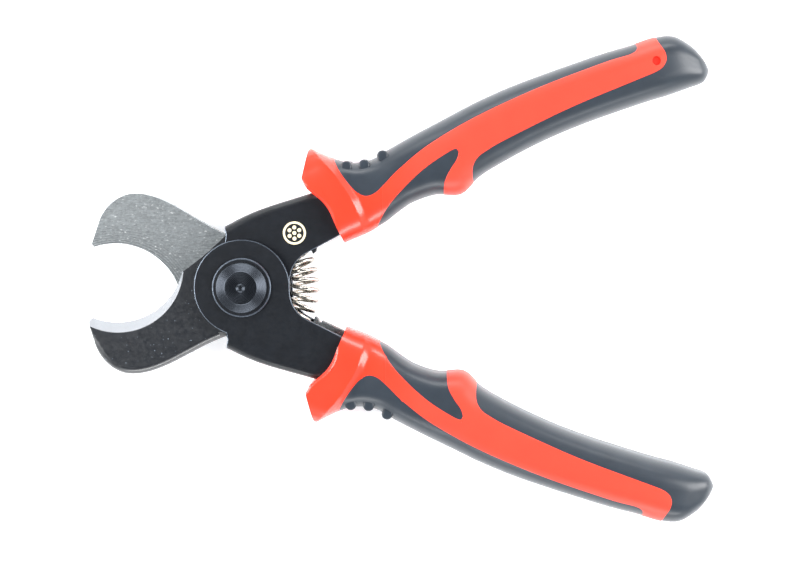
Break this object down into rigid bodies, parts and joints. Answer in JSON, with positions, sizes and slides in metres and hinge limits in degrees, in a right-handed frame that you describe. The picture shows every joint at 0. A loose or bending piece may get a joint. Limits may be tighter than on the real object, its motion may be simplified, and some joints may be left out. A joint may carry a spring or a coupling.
{
  "type": "cable cutter",
  "caption": "Hand cable cutter with hooked shear blades in folded steel channels, a stepped rivet, an opening spring and two-colour moulded grips with finger guards.",
  "frame": {"origin": "on the pivot axis, on the flat back of the rivet collar that the tool rests on", "axes": "+X from the pivot to the handles along the line midway between them, +Y across the handles towards the upper one, +Z along the pivot axis out of the front face"},
  "size_m": [0.1569, 0.122, 0.0188],
  "materials": {
    "bright_steel": "surface ground, faint grinding lines",
    "blackened_steel": "satin black oxide",
    "black_sheet_steel": "satin black coating",
    "spring_wire": "bright nickel plating",
    "red_plastic": "hard moulded plastic with a fine grain",
    "dark_soft_plastic": "smooth satin soft plastic"
  },
  "bodies": {
    "lower_arm": {"lower_channel": "black_sheet_steel", "silver_blade": "bright_steel", "pivot_rivet": "blackened_steel", "front_washer": "blackened_steel", "back_washer": "blackened_steel", "rivet_collar": "blackened_steel", "spring": "spring_wire", "lower_spring_seat": "blackened_steel", "lower_tang_pins": "bright_steel", "lower_grip_shell": "red_plastic", "lower_thumb_pad": "dark_soft_plastic", "lower_finger_pad": "dark_soft_plastic", "lower_heel_pad": "dark_soft_plastic"},
    "upper_arm": {"upper_channel": "black_sheet_steel", "black_blade": "blackened_steel", "upper_spring_seat": "blackened_steel", "upper_tang_pins": "bright_steel", "upper_grip_shell": "red_plastic", "upper_thumb_pad": "dark_soft_plastic", "upper_finger_pad": "dark_soft_plastic", "upper_heel_pad": "dark_soft_plastic"}
  },
  "joints": [
    {"name": "arm_pivot", "type": "hinge", "parent": "lower_arm", "child": "upper_arm", "pos_m": [0, 0, 0.0094], "axis": [0, 0, -1], "range_deg": [0, 42], "stiffness_Nm_per_rad": 0.4, "springref_deg": -28.65, "deforming": ["spring"]}
  ]
}
